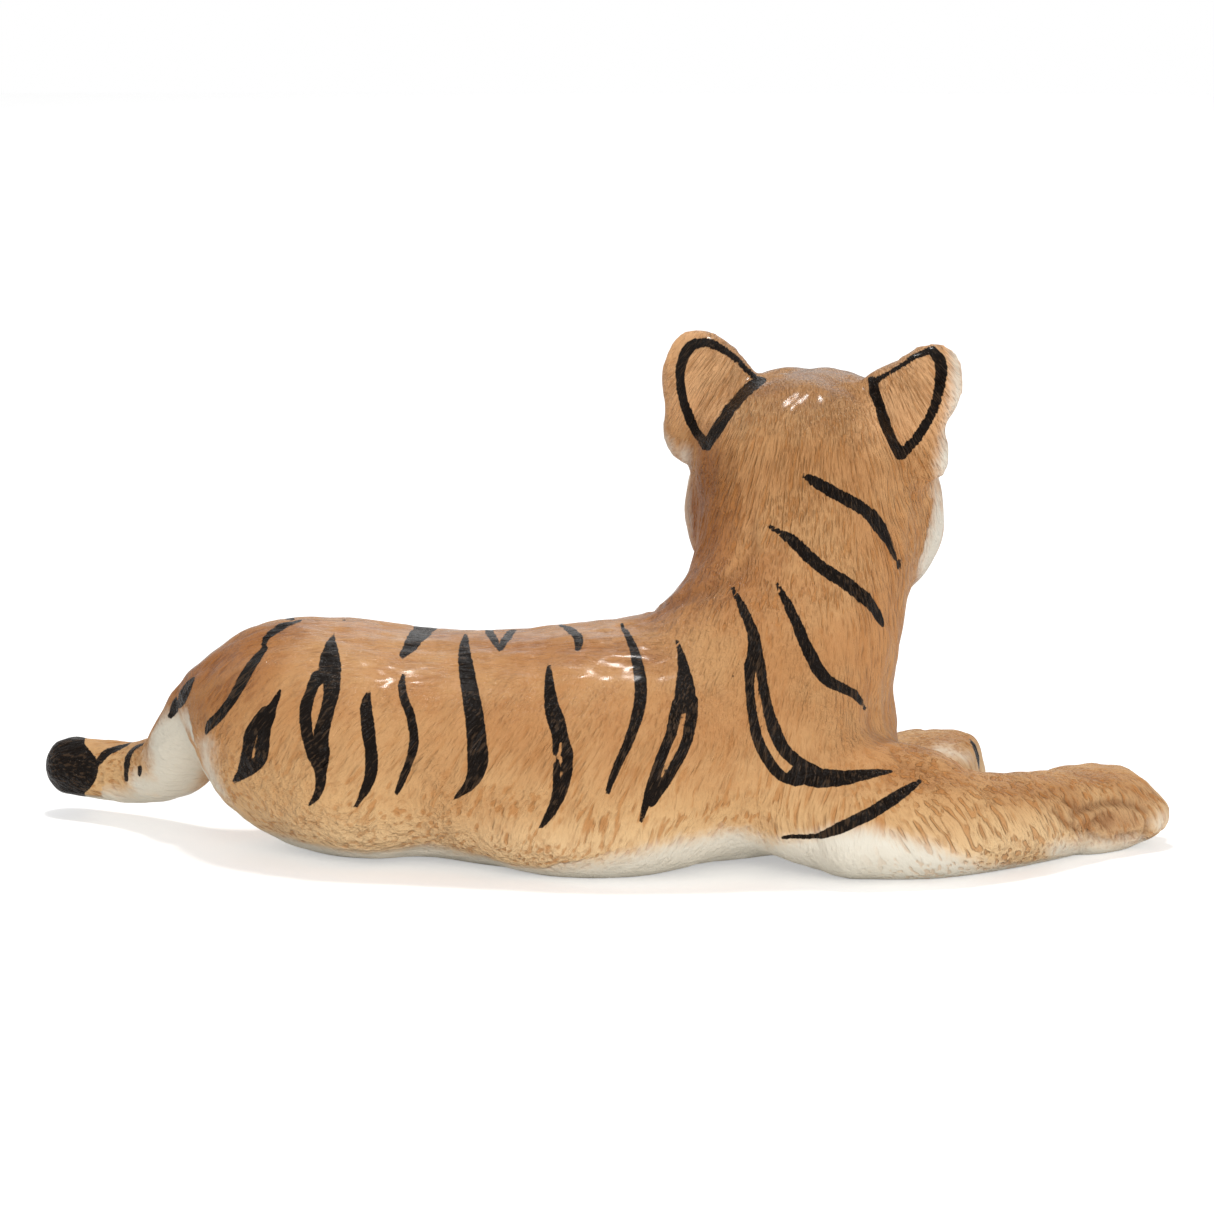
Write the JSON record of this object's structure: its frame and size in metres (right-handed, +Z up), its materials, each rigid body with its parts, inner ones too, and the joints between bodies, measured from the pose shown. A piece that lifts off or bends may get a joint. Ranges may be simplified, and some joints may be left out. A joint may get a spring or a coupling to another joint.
{
  "type": "animal figurine",
  "caption": "Lying tiger cub figurine, moulded in one solid piece and painted, head turned over its side, forelegs stretched out.",
  "frame": {"origin": "middle of the bounding box in X and Y, on the ground at the flat underside", "axes": "+Z up, +X along the body from the tail towards the front paws, +Y towards the side that the face looks to"},
  "size_m": [0.0818, 0.0398, 0.0372],
  "materials": {
    "painted_coat": "satin hand-painted coat, tan with near-black stripes and cream underside"
  },
  "bodies": {
    "root": {"tiger_figurine": "painted_coat"}
  },
  "joints": []
}
